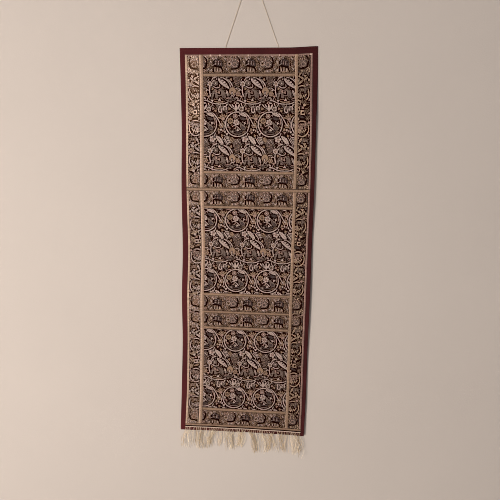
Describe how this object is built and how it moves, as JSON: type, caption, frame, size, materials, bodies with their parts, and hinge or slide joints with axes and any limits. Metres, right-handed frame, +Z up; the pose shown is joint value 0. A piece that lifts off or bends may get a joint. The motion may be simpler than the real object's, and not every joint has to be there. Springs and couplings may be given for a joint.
{
  "type": "brocade wall hanging with fringe and string",
  "caption": "Long floral woven brocade panel on a plain cloth backing, hung by a string in a V, with a rolled hem and a cut yarn fringe.",
  "frame": {"origin": "where the string rests on the nail or hook that carries the hanging, at the underside of the string's bend", "axes": "+Z up; -Y is the front, which faces the room; +Y is towards the wall; +X is to the right as seen from the front"},
  "size_m": [0.3875, 0.0125, 1.3932],
  "materials": {
    "backing": "matt plain-woven maroon cloth",
    "brocade": "black-brown satin ground with gold, cream, blue-grey, olive and pink weft figures",
    "fringe": "cream cut yarn",
    "cord": "cream twisted string"
  },
  "bodies": {
    "root": {"backing": "backing", "brocade": "brocade", "fringe": "fringe", "hanging_cord": "cord"}
  },
  "joints": []
}
